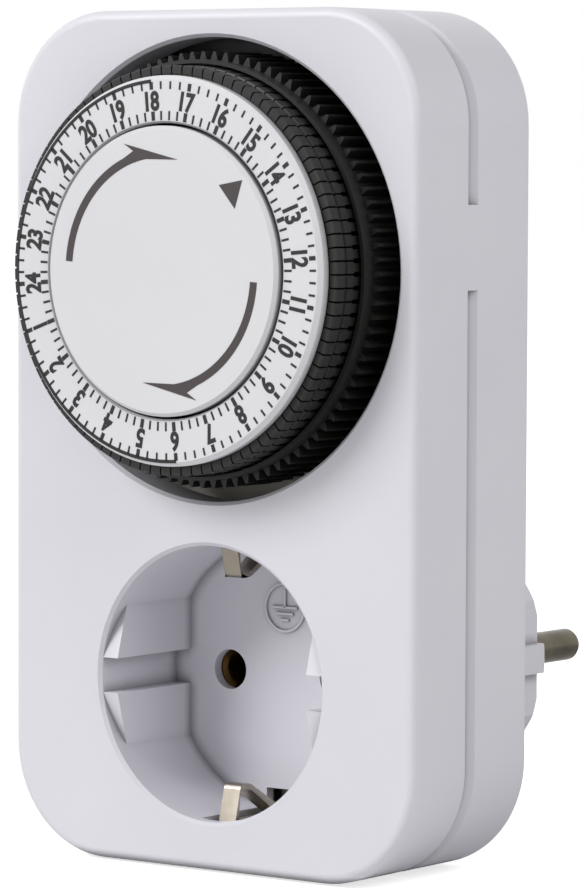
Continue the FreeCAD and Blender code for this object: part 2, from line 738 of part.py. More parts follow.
def motor_place():
    x, z = idler_place()
    distance = size("gear_module") * (WHEEL_TEETH + MOTOR_TEETH) / 2
    angle = math.radians(size("motor_angle"))
    return x + distance * math.cos(angle), z + distance * math.sin(angle)


def around_dial(shape, turn):
    """A copy turned about the dial's axis, in radians."""
    copy = shape.copy()
    copy.rotate(Vector(0, 0, DIAL), Y_AXIS, math.degrees(turn))
    return copy


def dial_carrier():
    """Black wheel: hub, web, drum, slotted flange that guides the tappets, and a toothed skirt."""
    bore = size("post_radius") + size("running_gap")
    flange_back = FRONT + size("flange_depth")
    flange_front = flange_back - size("flange_thickness")
    web_back = flange_front + size("web_thickness")
    drum_front = FRONT - size("dial_reach") + size("scale_thickness")
    drum_inner = size("drum_outer") - size("drum_wall")
    gear_back = FRONT + size("gear_depth") + size("gear_width")
    root = size("gear_module") * (TAPPETS / 2 - TOOTH_BELOW_PITCH)
    skirt_inner = size("tappet_outer") + size("running_gap") + 2 * size("tappet_gap")
    hub_back = FRONT + size("plate_depth") - size("running_gap")
    guard_inner = size("guard_radius") - size("guard_wall")
    guard_front = flange_front - size("guard_height")
    wheel = turned((
        (bore, flange_front - size("web_thickness")),
        (size("hub_radius"), flange_front - size("web_thickness")),
        (size("hub_radius"), flange_front),
        (drum_inner, flange_front),
        (drum_inner, drum_front),
        (size("drum_outer"), drum_front),
        (size("drum_outer"), flange_front),
        (guard_inner, flange_front),
        (guard_inner, guard_front),
        (size("guard_radius"), guard_front),
        (size("guard_radius"), flange_front),
        (root, flange_front),
        (root, gear_back),
        (skirt_inner, gear_back),
        (skirt_inner, flange_back),
        (drum_inner, flange_back),
        (drum_inner, web_back),
        (size("hub_radius"), web_back),
        (size("hub_radius"), hub_back),
        (bore, hub_back),
    ), 0, DIAL)
    teeth = gear(TAPPETS, flange_front, gear_back - flange_front, 0.0, 0, DIAL)
    core = rod(root - size("running_gap"), flange_front - OVERCUT, gear_back + OVERCUT, 0, DIAL)
    teeth = teeth.cut(core)
    wheel = wheel.fuse(teeth)

    gap = size("tappet_gap")
    half = size("tappet_stem") / 2 + gap
    inner = size("tappet_inner") - gap
    outer = size("tappet_outer") + gap
    window = block(-half, half, flange_front - OVERCUT, flange_back + OVERCUT, DIAL + inner, DIAL + outer)
    pitch = 2 * math.pi / TAPPETS
    windows = [around_dial(window, (k + 0.5) * pitch) for k in range(TAPPETS)]
    wheel = wheel.cut(Part.makeCompound(windows))
    return solid_node(wheel.removeSplitter(), "dial_carrier")


def dial_scale_ring():
    """White ring that carries the hours, with a bevelled rim."""
    front = FRONT - size("dial_reach")
    back = front + size("scale_thickness")
    bevel = size("scale_bevel")
    ring = turned((
        (size("scale_inner"), front + bevel / 2),
        (size("scale_inner") + bevel / 2, front),
        (size("scale_outer") - bevel, front),
        (size("scale_outer"), front + bevel),
        (size("scale_outer"), back),
        (size("scale_inner"), back),
    ), 0, DIAL)
    return solid_node(ring, "dial_scale_ring")


def tappet_groups():
    """Ninety-six tappets with broad heads on narrow stems, in a group of four for each hour."""
    head = FRONT - size("tappet_head")
    tail = FRONT + size("tappet_tail")
    outer = size("tappet_outer")
    inner = size("tappet_inner")
    ledge = size("scale_outer") + 2 * size("tappet_gap")
    ledge_back = FRONT - size("dial_reach") + size("scale_thickness") + size("tappet_gap")
    groove = size("tappet_groove")
    groove_front = head + size("tappet_head_length") / 2
    profile = (
        (ledge, head),
        (outer - groove / 2, head),
        (outer, head + groove / 2),
        (outer, groove_front),
        (outer - groove, groove_front + groove / 2),
        (outer - groove, groove_front + 3 * groove / 2),
        (outer, groove_front + 2 * groove),
        (outer, tail),
        (inner, tail),
        (inner, ledge_back),
        (ledge, ledge_back),
    )
    half = size("tappet_head_width") / 2
    points = [Vector(-half, along, DIAL + radius) for radius, along in profile]
    points.append(points[0])
    tappet = Part.Face(Part.makePolygon(points)).extrude(Vector(2 * half, 0, 0))
    shoulder = head + size("tappet_head_length")
    stem = size("tappet_stem") / 2
    for near, far in ((-half - OVERCUT, -stem), (stem, half + OVERCUT)):
        beside = block(near, far, shoulder, tail + OVERCUT, DIAL + inner - OVERCUT, DIAL + outer + OVERCUT)
        tappet = tappet.cut(beside)
    pitch = 2 * math.pi / TAPPETS
    share = TAPPETS // GROUPS
    for group in range(GROUPS):
        members = [around_dial(tappet, (group * share + k + 0.5) * pitch) for k in range(share)]
        solid_node(Part.makeCompound(members), f"tappets_{group + 1:02d}")


def centre_disc():
    """Fixed disc in the middle of the dial, a shallow step proud of the scale ring."""
    front = FRONT - size("dial_reach") - size("disc_step")
    back = front + size("disc_thickness")
    bevel = size("disc_bevel")
    return solid_node(turned((
        (0, front),
        (size("disc_radius") - bevel, front),
        (size("disc_radius"), front + bevel),
        (size("disc_radius"), back),
        (0, back),
    ), 0, DIAL), "centre_disc")


def centre_post():
    """Post on which the dial turns; its flange stands on the movement plate."""
    front = FRONT - size("dial_reach") - size("disc_step") + size("disc_thickness")
    plate = FRONT + size("plate_depth")
    end = plate + size("plate_thickness")
    radius = size("post_radius")
    shank = radius - size("post_shoulder")
    return solid_node(turned((
        (0, front),
        (radius, front),
        (radius, plate),
        (shank, plate),
        (shank, end),
        (0, end),
    ), 0, DIAL), "centre_post")


def movement_plate():
    """Plate that carries the post, the idler's axle, the motor and the switch lever."""
    half = size("plate_width") / 2
    front = FRONT + size("plate_depth")
    back = front + size("plate_thickness")
    plate = block(-half, half, front, back, size("plate_low"), size("plate_high"))
    corners = [edge for edge in plate.Edges if abs(edge.Length - size("plate_thickness")) < 1e-6]
    plate = plate.makeFillet(size("plate_corner"), corners)
    gap = size("screw_clearance")
    motor_x, motor_z = motor_place()
    idler_x, idler_z = idler_place()
    start = front - OVERCUT
    end = back + OVERCUT
    holes = [
        rod(size("post_radius") - size("post_shoulder") + gap / 3, start, end, 0, DIAL),
        rod(size("axle_radius") + gap / 3, start, end, idler_x, idler_z),
        rod(2 * size("axle_radius"), start, end, motor_x, motor_z),
    ]
    for x, z in pillar_places():
        holes.append(rod(size("screw_radius") + gap, start, end, x, z))
    x, low, high = lever_frame()
    side = size("lever_width") / 2 + size("lever_gap")
    margin = size("lever_window")
    holes.append(block(x - side, x + side, start, end, low - margin, high + margin))
    plate = plate.cut(Part.makeCompound(holes))
    ear = size("ear_thickness")
    pin_y = lever_middle()
    tall = size("ear_half_height")
    for near in (x - side - ear, x + side):
        lug = block(near, near + ear, pin_y - size("ear_front"), front + gap, low - tall, low + tall)
        plate = plate.fuse(lug)
    hole = cross_rod(size("lever_pin_radius") + gap / 3, 4 * side)
    return solid_node(plate.cut(hole).removeSplitter(), "movement_plate")


def lever_frame():
    """Place of the switch lever: its X, and the heights of its pin and of its nose."""
    return -size("lever_radius"), DIAL - size("lever_length"), DIAL


def lever_middle():
    """Place along Y of the middle of the lever's arm, which lies just behind the dial's gear."""
    gear_back = FRONT + size("gear_depth") + size("gear_width")
    return gear_back + size("lever_gap") + size("lever_thickness") / 2


def cross_rod(radius, length):
    """A rod along X, centred on the lever's pin."""
    x, low, _ = lever_frame()
    return Part.makeCylinder(radius, length, Vector(x - length / 2, lever_middle(), low), Vector(1, 0, 0))


def switch_lever():
    """Rocking lever: its nose stands behind the tails of the tappets that are pushed in."""
    x, low, high = lever_frame()
    half = size("lever_width") / 2
    middle = lever_middle()
    front = middle - size("lever_thickness") / 2
    back = middle + size("lever_thickness") / 2
    arm = block(x - half, x + half, front, back, low, high + size("lever_nose") / 2)
    pivot = cross_rod(size("lever_hub_radius"), size("lever_width"))
    nose_front = FRONT + size("tappet_tail") + size("tappet_travel") + size("lever_gap")
    nose = size("lever_nose") / 2
    tip = block(x - nose / 2, x + nose / 2, nose_front, middle, high - nose, high + nose)
    lever = arm.fuse([pivot, tip])
    bore = cross_rod(size("lever_pin_radius") + size("running_gap"), size("lever_width"))
    return solid_node(lever.cut(bore).removeSplitter(), "switch_lever")


def lever_pin():
    length = size("lever_width") + 2 * (size("lever_gap") + size("ear_thickness"))
    return solid_node(cross_rod(size("lever_pin_radius"), length), "lever_pin")


def plunger_place():
    x, low, _ = lever_frame()
    return x, low + size("plunger_height")


def switch_front():
    lever_back = lever_middle() + size("lever_thickness") / 2
    return lever_back + size("lever_gap") / 2 + size("plunger_stroke") + size("lever_gap")


def switch_case():
    """Closed snap switch behind the lever, with the bore of its plunger."""
    x, z = plunger_place()
    front = switch_front()
    back = front + size("switch_depth")
    half = size("switch_width") / 2
    low = z - size("switch_drop")
    case = block(x - half, x + half, front, back, low, low + size("switch_height"))
    radius = size("plunger_radius") + 2 * size("running_gap")
    bore_end = front + 2 * size("plunger_stroke") + size("lever_gap")
    case = case.cut(rod(radius, front - OVERCUT, bore_end, x, z))
    return solid_node(case, "switch_case")


def switch_plunger():
    x, z = plunger_place()
    lever_back = lever_middle() + size("lever_thickness") / 2
    start = lever_back + size("lever_gap") / 2
    end = switch_front() + size("plunger_stroke")
    return solid_node(rod(size("plunger_radius"), start, end, x, z), "switch_plunger")


def gear_train():
    """The idler with its wheel, the idler's axle, and the motor's pinion on its shaft."""
    idler_x, idler_z = idler_place()
    motor_x, motor_z = motor_place()
    pinion_front = FRONT + size("gear_depth")
    wheel_front = pinion_front + size("gear_width")
    wheel_width = size("idler_wheel_width")
    toward_dial = math.atan2(-idler_x, DIAL - idler_z)
    dial_pitch = 2 * math.pi / TAPPETS
    dial_turn = (toward_dial + math.pi) / dial_pitch
    dial_phase = dial_turn - math.floor(dial_turn)
    pinion_turn = toward_dial + (0.5 + dial_phase) * 2 * math.pi / IDLER_TEETH
    toward_motor = math.atan2(motor_x - idler_x, motor_z - idler_z)
    wheel_turn = toward_motor
    motor_turn = toward_motor + math.pi + math.pi / MOTOR_TEETH
    pinion = gear(IDLER_TEETH, pinion_front, size("gear_width"), pinion_turn, idler_x, idler_z)
    wheel = gear(WHEEL_TEETH, wheel_front, wheel_width, wheel_turn, idler_x, idler_z)
    wheel_back = wheel_front + wheel_width
    bore_radius = size("axle_radius") + size("running_gap")
    bore = rod(bore_radius, pinion_front - OVERCUT, wheel_back + OVERCUT, idler_x, idler_z)
    solid_node(pinion.fuse(wheel).cut(bore), "idler_gear")
    plate_back = FRONT + size("plate_depth") + size("plate_thickness")
    axle_front = pinion_front - size("metal") / 2
    axle = rod(size("axle_radius"), axle_front, plate_back, idler_x, idler_z)
    solid_node(axle, "idler_axle")
    drive = gear(MOTOR_TEETH, wheel_front, wheel_width, motor_turn, motor_x, motor_z)
    shaft_end = plate_back + size("motor_cap_thickness") + 2 * size("axle_radius")
    shaft = rod(size("axle_radius"), wheel_front, shaft_end, motor_x, motor_z)
    solid_node(drive.fuse(shaft).removeSplitter(), "motor_pinion")


def motor():
    """Synchronous motor: a turned can closed by a cap that stands on the movement plate."""
    x, z = motor_place()
    cap_front = FRONT + size("plate_depth") + size("plate_thickness")
    cap_back = cap_front + size("motor_cap_thickness")
    can_back = BACK - size("wall") - size("motor_rim") / 2
    radius = size("motor_radius")
    bore = size("axle_radius") + size("running_gap")
    cap = turned(((bore, cap_front), (radius, cap_front), (radius, cap_back), (bore, cap_back)), x, z)
    solid_node(cap, "motor_cap")
    shell = radius - size("motor_rim")
    well = cap_back + 3 * size("axle_radius")
    can = turned((
        (bore, cap_back),
        (shell, cap_back),
        (shell, can_back - size("motor_rim")),
        (shell - size("motor_rim"), can_back),
        (0, can_back),
        (0, well),
        (bore, well),
    ), x, z)
    solid_node(can, "motor_can")


def plug_pins():
    """Round plug pins with a thicker seat in the plug's end wall and a collar behind it."""
    tip = size("pin_tip")
    seat_front = -size("plug_end_wall")
    radius = size("pin_radius")
    collar = size("pin_collar_radius")
    collar_front = seat_front - size("pin_collar")
    heel_front = collar_front - size("pin_root")
    end = size("pin_length")
    for x, label in ((-size("pin_spacing") / 2, "live_pin"), (size("pin_spacing") / 2, "neutral_pin")):
        pin = turned((
            (0, heel_front),
            (size("pin_heel_radius"), heel_front),
            (size("pin_heel_radius"), collar_front),
            (collar, collar_front),
            (collar, seat_front),
            (size("pin_seat_radius"), seat_front),
            (size("pin_seat_radius"), 0),
            (radius, 0),
            (radius, end - tip),
            (radius - tip / 3, end - tip / 3),
            (radius - tip, end),
            (0, end),
        ), x)
        solid_node(pin, label)


def socket_clips():
    """Sprung receptacle sleeves behind the pin holes, slit along one side and flared at the mouth."""
    start = FRONT + size("recess_depth") + size("recess_wall") + size("strap_gap")
    end = start + size("clip_length")
    inner = size("pin_radius") + size("pin_clearance")
    outer = inner + size("metal")
    flare = size("metal") / 2
    half = size("clip_slit") / 2
    for x, label in ((-size("pin_spacing") / 2, "live_clip"), (size("pin_spacing") / 2, "neutral_clip")):
        sleeve = turned((
            (inner + flare, start),
            (outer + flare, start),
            (outer, start + 2 * flare),
            (outer, end),
            (inner, end),
            (inner, start + 2 * flare),
        ), x)
        slit = block(x - half, x + half, start - OVERCUT, end + OVERCUT, -2 * outer, 0)
        solid_node(sleeve.cut(slit), label)


def strip(points, width):
    """A flat bar bent square along a list of points. It is wide along X, or along Z where it runs along X."""
    half = size("metal") / 2
    pieces = []
    for start, end in zip(points[:-1], points[1:]):
        low = [min(a, b) - half for a, b in zip(start, end)]
        high = [max(a, b) + half for a, b in zip(start, end)]
        across = 0 if start[0] == end[0] else 2
        low[across] = start[across] - width / 2
        high[across] = start[across] + width / 2
        pieces.append(block(low[0], high[0], low[1], high[1], low[2], high[2]))
    bar = pieces[0]
    for piece in pieces[1:]:
        bar = bar.fuse(piece)
    return bar.removeSplitter()


def contact_bars():
    """Bars from the sleeves to the pins and, on the live side, through the snap switch."""
    metal = size("metal")
    width = size("bar_width")
    spacing = size("pin_spacing") / 2
    sleeve_front = FRONT + size("recess_depth") + size("recess_wall") + size("strap_gap")
    sleeve_end = sleeve_front + size("clip_length")
    sleeve_outer = size("pin_radius") + size("pin_clearance") + metal
    pin_front = -size("plug_end_wall") - size("pin_collar") - size("pin_root")
    lap = size("bar_lap")
    seat = sleeve_outer + metal + size("pin_clearance")
    neutral = strip((
        (spacing, sleeve_end - lap, seat),
        (spacing, pin_front + lap, seat),
    ), width)
    rest = size("pin_heel_radius") + size("pin_clearance")
    foot = block(spacing - width / 2, spacing + width / 2, pin_front, pin_front + lap, rest, seat)
    solid_node(neutral.fuse(foot).removeSplitter(), "neutral_bar")

    x, z = plunger_place()
    case_low = z - size("switch_drop")
    run_out = FRONT + size("recess_depth") + size("recess_wall") + 2 * metal
    run_in = run_out + 3 * metal
    upper_run = seat + 5 * metal
    elbow = case_low - width / 2 - metal
    terminal = width / 4
    feed = block(x - terminal, x + terminal, run_out - metal / 2, run_out + metal / 2, elbow, case_low)
    outgoing = strip((
        (-spacing, sleeve_end - lap, seat),
        (-spacing, run_out, seat),
        (-spacing, run_out, elbow),
        (x, run_out, elbow),
    ), width)
    solid_node(outgoing.fuse(feed).removeSplitter(), "live_bar_out")
    feed.translate(Vector(0, run_in - run_out, 0))
    incoming = strip((
        (-spacing, pin_front + lap / 2, rest + metal / 2),
        (-spacing, pin_front + lap / 2, upper_run),
        (-spacing, run_in, upper_run),
        (-spacing, run_in, elbow),
        (x, run_in, elbow),
    ), width)
    solid_node(incoming.fuse(feed).removeSplitter(), "live_bar_in")


def earth_straps():
    """Earth straps: a sprung tongue in the recess, an arm through the floor and a strip on the plug."""
    metal = size("metal")
    width = size("strap_width")
    wall_radius = size("recess_radius") + size("clip_channel_depth") - size("strap_gap") - metal / 2
    tongue_front = FRONT + size("front_wall") + size("tongue_set")
    crest_front = tongue_front + size("tongue_ramp")
    crest_back = crest_front + size("tongue_crest")
    bend = FRONT + size("recess_depth") - 2 * metal
    floor_back = FRONT + size("recess_depth") + size("recess_wall") + 2 * metal
    groove_radius = size("plug_radius") - size("strap_gap") - metal / 2
    inner_radius = size("plug_bore") - 2 * metal
    slot_middle = -size("plug_end_wall") - 2 * metal
    for sign, label in ((1, "earth_strap_upper"), (-1, "earth_strap_lower")):
        strap = strip((
            (0, tongue_front, sign * wall_radius),
            (0, floor_back, sign * wall_radius),
            (0, floor_back, sign * inner_radius),
            (0, slot_middle, sign * inner_radius),
            (0, slot_middle, sign * groove_radius),
            (0, -size("plug_length") + metal, sign * groove_radius),
        ), width)
        crest = wall_radius - metal / 2 - size("tongue_rise")
        tongue = [
            Vector(-width / 2, tongue_front, sign * (wall_radius + metal / 2)),
            Vector(-width / 2, crest_front, sign * crest),
            Vector(-width / 2, crest_back, sign * crest),
            Vector(-width / 2, bend, sign * (wall_radius - metal)),
            Vector(-width / 2, bend, sign * wall_radius),
            Vector(-width / 2, crest_back, sign * (crest + metal)),
            Vector(-width / 2, crest_front, sign * (crest + metal)),
            Vector(-width / 2, tongue_front + metal, sign * (wall_radius + metal / 2)),
        ]
        tongue.append(tongue[0])
        spring = Part.Face(Part.makePolygon(tongue)).extrude(Vector(width, 0, 0))
        solid_node(strap.fuse(spring).removeSplitter(), label)


def screw(x, z, head_end, length):
    """A pan screw whose head ends at this place along Y and whose shank points to the front."""
    head = size("screw_head")
    shank = rod(size("screw_radius"), head_end - head - length, head_end - head, x, z)
    cap = rod(size("screw_head_radius"), head_end - head, head_end, x, z)
    return shank.fuse(cap).removeSplitter()


def fasteners():
    gap = size("screw_clearance")
    length = size("body_depth") - size("screw_head") - size("front_wall") - gap - size("screw_end_gap")
    housing = [screw(x, z, BACK - gap, length) for x, z in screw_places()]
    solid_node(Part.makeCompound(housing), "housing_screws")
    front = FRONT + size("plate_depth")
    plate = []
    for x, z in pillar_places():
        cap = rod(size("screw_head_radius"), front - size("screw_head"), front, x, z)
        shank_end = front + size("plate_thickness") + 5 * size("screw_radius")
        shank = rod(size("screw_radius"), front, shank_end, x, z)
        plate.append(cap.fuse(shank).removeSplitter())
    solid_node(Part.makeCompound(plate), "plate_screws")


def check_and_export():
    doc.recompute()
    for thing in doc.Objects:
        if "Invalid" in thing.State or "Error" in thing.State:
            raise ValueError(f"{thing.Label}: {thing.State}")
    os.makedirs("parts", exist_ok=True)
    for thing in parts:
        shape = thing.Shape
        if shape.isNull() or not shape.isValid():
            raise ValueError(f"{thing.Label} has no valid shape")
        shape.exportStep(f"parts/{thing.Label}.step")
        print(thing.Label, len(shape.Solids), round(shape.Volume, 1))


front_cover()
rear_cover()
plug_body()
dial_carrier()
dial_scale_ring()
tappet_groups()
centre_disc()
centre_post()
movement_plate()
switch_lever()
lever_pin()
switch_case()
switch_plunger()
gear_train()
motor()
plug_pins()
socket_clips()
contact_bars()
earth_straps()
fasteners()
check_and_export()
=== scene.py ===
# Looks of the plug-in timer switch: materials, printed scale, arrows and small moulded details.
# Lengths are written in millimetres and turned into metres by MM, except for texture depths,
# the camera and the lights, which are in metres.
import bpy
import bmesh
import math
from mathutils import Matrix, Vector


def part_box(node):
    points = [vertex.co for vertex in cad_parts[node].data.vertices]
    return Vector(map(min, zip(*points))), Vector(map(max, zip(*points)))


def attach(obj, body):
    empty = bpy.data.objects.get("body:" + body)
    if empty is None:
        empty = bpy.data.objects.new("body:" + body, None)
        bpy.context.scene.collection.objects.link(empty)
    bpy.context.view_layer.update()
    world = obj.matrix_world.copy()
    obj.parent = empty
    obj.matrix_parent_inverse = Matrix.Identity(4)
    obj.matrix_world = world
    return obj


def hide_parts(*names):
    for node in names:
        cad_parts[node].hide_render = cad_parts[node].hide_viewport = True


MM = 0.001

# Places that the frame gives
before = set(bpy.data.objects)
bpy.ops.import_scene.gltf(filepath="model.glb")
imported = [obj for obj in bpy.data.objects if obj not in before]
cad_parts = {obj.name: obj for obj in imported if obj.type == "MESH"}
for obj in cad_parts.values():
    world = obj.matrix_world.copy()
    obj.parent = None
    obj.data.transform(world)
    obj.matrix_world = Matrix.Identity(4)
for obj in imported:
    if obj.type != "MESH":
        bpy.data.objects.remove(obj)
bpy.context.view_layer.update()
SCALE_LOW, SCALE_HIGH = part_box("dial_scale_ring")
COVER_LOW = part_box("front_cover")[0]
DIAL = (SCALE_LOW.z + SCALE_HIGH.z) / 2
SCALE_FACE = SCALE_LOW.y
DISC_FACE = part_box("centre_disc")[0].y

# Printed scale, in millimetres and degrees
HOURS = 24
QUARTERS = 96
HOUR_TWELVE_ANGLE = 5.0
INK_THICKNESS = 0.04
OUTER_TICK = (25.2, 26.25)
INNER_TICK = (20.9, 22.15)
HOUR_TICK_WIDTH = 0.58
QUARTER_TICK_WIDTH = 0.3
ARC_WIDTH = 0.36
ARC_START_HOUR = 18
ARC_STEPS = 90
DIGIT_HEIGHT = 2.65
DIGIT_RADIUS = 23.6
DIGIT_CONDENSE = 0.82
DIGIT_BOLD = 0.05
DIGIT_SPACING = 0.95
CAPITAL_SHARE = 0.73

# Camera worked out from the photograph
CAMERA_PLACE = Vector((0.398354, -0.571525, 0.074841))
CAMERA_YAW = 0.6425
CAMERA_PITCH = 0.0628
CAMERA_ROLL = 0.0038
CAMERA_LENS = 187.67
SENSOR_HEIGHT = 36.0


def srgb(red, green, blue):
    """A colour given as 0 to 255 screen values, turned into linear light."""
    channels = []
    for value in (red, green, blue):
        share = value / 255
        channels.append(share / 12.92 if share <= 0.04045 else ((share + 0.055) / 1.055) ** 2.4)
    return (*channels, 1.0)


def add_mesh(name, build, material, body):
    """A mesh piece filled in by a function that takes a bmesh, painted and riding on a body."""
    mesh = bpy.data.meshes.new(name)
    cage = bmesh.new()
    build(cage)
    bmesh.ops.recalc_face_normals(cage, faces=cage.faces)
    cage.to_mesh(mesh)
    cage.free()
    piece = bpy.data.objects.new(name, mesh)
    bpy.context.scene.collection.objects.link(piece)
    mesh.materials.append(material)
    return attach(piece, body)


def extrude_outline(cage, outline, back, front):
    """Adds a flat piece between two places along Y from a list of (x, z) points in metres."""
    bottom = [cage.verts.new((x, back, z)) for x, z in outline]
    top = [cage.verts.new((x, front, z)) for x, z in outline]
    count = len(outline)
    cage.faces.new(bottom)
    cage.faces.new(top)
    for k in range(count):
        following = (k + 1) % count
        cage.faces.new((bottom[k], bottom[following], top[following], top[k]))


def dial_point(radius, angle):
    """A point on the dial from a radius in millimetres and an angle in degrees, counted from +X
    and anticlockwise as seen from the front."""
    turn = math.radians(angle)
    return radius * MM * math.cos(turn), DIAL + radius * MM * math.sin(turn)


def arc_points(radius, start, end, steps):
    return [dial_point(radius, start + (end - start) * k / steps) for k in range(steps + 1)]


def hour_angle(hour):
    return HOUR_TWELVE_ANGLE + (hour - HOURS / 2) * 360 / HOURS


# Materials
# Painted shade: ambient occlusion darkens the plastics' base colour in gaps, seams and inner corners.
CREVICE_SHADE_SAMPLES = 6
CREVICE_SHADE_FLOOR = 0.35
CREVICE_SHADE_REACH = 0.0018
CREVICE_SHADE_DARKEST = 0.42


def new_material(name, colour, roughness, metallic=0.0):
    material = bpy.data.materials.new(name)
    material.use_nodes = True
    shader = material.node_tree.nodes["Principled BSDF"]
    shader.inputs["Base Color"].default_value = colour
    shader.inputs["Roughness"].default_value = roughness
    shader.inputs["Metallic"].default_value = metallic
    return material, material.node_tree, shader


def object_place(tree, stretch=(1.0, 1.0, 1.0)):
    """Object coordinates, stretched along each axis."""
    place = tree.nodes.new("ShaderNodeTexCoord")
    mapping = tree.nodes.new("ShaderNodeMapping")
    mapping.inputs["Scale"].default_value = stretch
    tree.links.new(place.outputs["Object"], mapping.inputs["Vector"])
    return mapping.outputs["Vector"]


def noise(tree, place, scale, detail, roughness=0.5):
    texture = tree.nodes.new("ShaderNodeTexNoise")
    texture.inputs["Scale"].default_value = scale
    texture.inputs["Detail"].default_value = detail
    texture.inputs["Roughness"].default_value = roughness
    tree.links.new(place, texture.inputs["Vector"])
    return texture.outputs["Fac"]


def vary(tree, factor, low, high, socket):
    """Drives a shader value between two numbers from a texture."""
    spread = tree.nodes.new("ShaderNodeMapRange")
    spread.inputs["To Min"].default_value = low
    spread.inputs["To Max"].default_value = high
    tree.links.new(factor, spread.inputs["Value"])
    tree.links.new(spread.outputs["Result"], socket)


def vary_colour(tree, factor, first, second):
    """A colour that wanders between two with a texture."""
    ramp = tree.nodes.new("ShaderNodeValToRGB")
    ramp.color_ramp.elements[0].position = 0.35
    ramp.color_ramp.elements[0].color = first
    ramp.color_ramp.elements[1].position = 0.65
    ramp.color_ramp.elements[1].color = second
    tree.links.new(factor, ramp.inputs["Fac"])
    return ramp.outputs["Color"]


def bump(tree, shader, height, depth):
    """Raises the surface by a texture, with the depth in metres."""
    relief = tree.nodes.new("ShaderNodeBump")
    relief.inputs["Strength"].default_value = 1.0
    relief.inputs["Distance"].default_value = depth
    tree.links.new(height, relief.inputs["Height"])
    tree.links.new(relief.outputs["Normal"], shader.inputs["Normal"])


def darken_crevices(tree, colour, target):
    """Paints shade into the base colour: ambient occlusion makes narrow gaps, seams and inner corners go
    darker.
    """
    shadow = tree.nodes.new("ShaderNodeAmbientOcclusion")
    shadow.samples = CREVICE_SHADE_SAMPLES
    shadow.inputs["Distance"].default_value = CREVICE_SHADE_REACH
    level = tree.nodes.new("ShaderNodeMapRange")
    level.inputs["From Min"].default_value = CREVICE_SHADE_FLOOR
    level.inputs["To Min"].default_value = CREVICE_SHADE_DARKEST
    tree.links.new(shadow.outputs["AO"], level.inputs["Value"])
    mix = tree.nodes.new("ShaderNodeVectorMath")
    mix.operation = "SCALE"
    tree.links.new(colour, mix.inputs["Vector"])
    tree.links.new(level.outputs["Result"], mix.inputs["Scale"])
    tree.links.new(mix.outputs["Vector"], target)


def moulded_plastic(name, colour, shade, roughness, grain_scale, grain_depth):
    """Moulded plastic: a faint drift of colour, uneven gloss, a fine sparked grain and painted shade in
    the crevices.
    """
    material, tree, shader = new_material(name, colour, roughness)
    place = object_place(tree)
    drift = noise(tree, place, 35.0, 2.0)
    tint = vary_colour(tree, drift, shade, colour)
    # Painted shade in gaps and corners, laid over the colour drift.
    darken_crevices(tree, tint, shader.inputs["Base Color"])
    gloss = noise(tree, place, 220.0, 4.0)
    vary(tree, gloss, roughness - 0.05, roughness + 0.06, shader.inputs["Roughness"])
    grain = noise(tree, place, grain_scale, 2.0, 0.6)
    bump(tree, shader, grain, grain_depth)
    return material


def plated_metal(name, colour, shade, roughness, stretch):
    """Plated or rolled metal with fine drawn lines along one axis."""
    material, tree, shader = new_material(name, colour, roughness, 1.0)
    lines = noise(tree, object_place(tree, stretch), 900.0, 4.0, 0.65)
    vary(tree, lines, roughness - 0.07, roughness + 0.12, shader.inputs["Roughness"])
    patches = noise(tree, object_place(tree), 160.0, 3.0)
    tree.links.new(vary_colour(tree, patches, shade, colour), shader.inputs["Base Color"])
    bump(tree, shader, lines, 0.000004)
    return material


def printed_ink(name, colour):
    """Pad-printed ink with a slightly broken film."""
    material, tree, shader = new_material(name, colour, 0.45)
    film = noise(tree, object_place(tree), 2600.0, 2.0)
    vary(tree, film, 0.38, 0.55, shader.inputs["Roughness"])
    bump(tree, shader, film, 0.000003)
    return material


SHELL = moulded_plastic("white_shell", srgb(220, 219, 225), srgb(217, 216, 223), 0.42, 5200.0, 0.000012)
FACE = moulded_plastic("dial_white", srgb(219, 219, 221), srgb(216, 216, 219), 0.36, 7000.0, 0.000004)
BLACK = moulded_plastic("black_plastic", srgb(18, 18, 15), srgb(13, 13, 11), 0.46, 4200.0, 0.000010)
NATURAL = moulded_plastic(
    "natural_plastic", srgb(224, 220, 208), srgb(214, 210, 197), 0.45, 3800.0, 0.000008)
INK = printed_ink("scale_ink", srgb(15, 14, 14))
ARROW_INK = printed_ink("arrow_ink", srgb(62, 54, 55))
STEEL = plated_metal(
    "zinc_plated_steel", srgb(188, 189, 192), srgb(170, 171, 175), 0.32, (1.0, 0.08, 1.0))
ZINC = plated_metal("motor_zinc", srgb(200, 200, 198), srgb(184, 184, 182), 0.36, (1.0, 0.05, 1.0))
# Painted shade: the pin nickel is a darker copy of the strap nickel, lowered to stand in for the dark
# surroundings the pins reflect.
SHADED_PIN_NICKEL = plated_metal("pin_nickel", srgb(112, 105, 90), srgb(88, 82, 69), 0.24, (1.0, 0.06, 1.0))
STRAP = plated_metal("strap_nickel", srgb(190, 183, 170), srgb(160, 152, 140), 0.28, (1.0, 0.06, 1.0))
# Painted shade: the brass colour is darkened so the contacts read dark inside the pin holes.
SHADED_BRASS = plated_metal("contact_brass", srgb(158, 130, 84), srgb(136, 110, 68), 0.34, (1.0, 0.06, 1.0))

NODE_MATERIALS = (
    (SHELL, ("front_cover", "rear_cover", "plug_body")),
    (FACE, ("dial_scale_ring", "centre_disc")),
    (BLACK, ("dial_carrier", "switch_case")),
    (BLACK, tuple(f"tappets_{hour:02d}" for hour in range(1, HOURS + 1))),
    (NATURAL, ("centre_post", "movement_plate", "idler_gear", "motor_pinion")),
    (NATURAL, ("switch_lever", "switch_plunger")),
    (STEEL, ("housing_screws", "plate_screws", "idler_axle", "lever_pin")),
    (ZINC, ("motor_cap", "motor_can")),
    (SHADED_PIN_NICKEL, ("live_pin", "neutral_pin")),
    (SHADED_BRASS, ("live_clip", "neutral_clip", "neutral_bar", "live_bar_out", "live_bar_in")),
)


def paint_nodes():
    for material, names in NODE_MATERIALS:
        for name in names:
            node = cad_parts[name]
            node.data.materials.clear()
            node.data.materials.append(material)


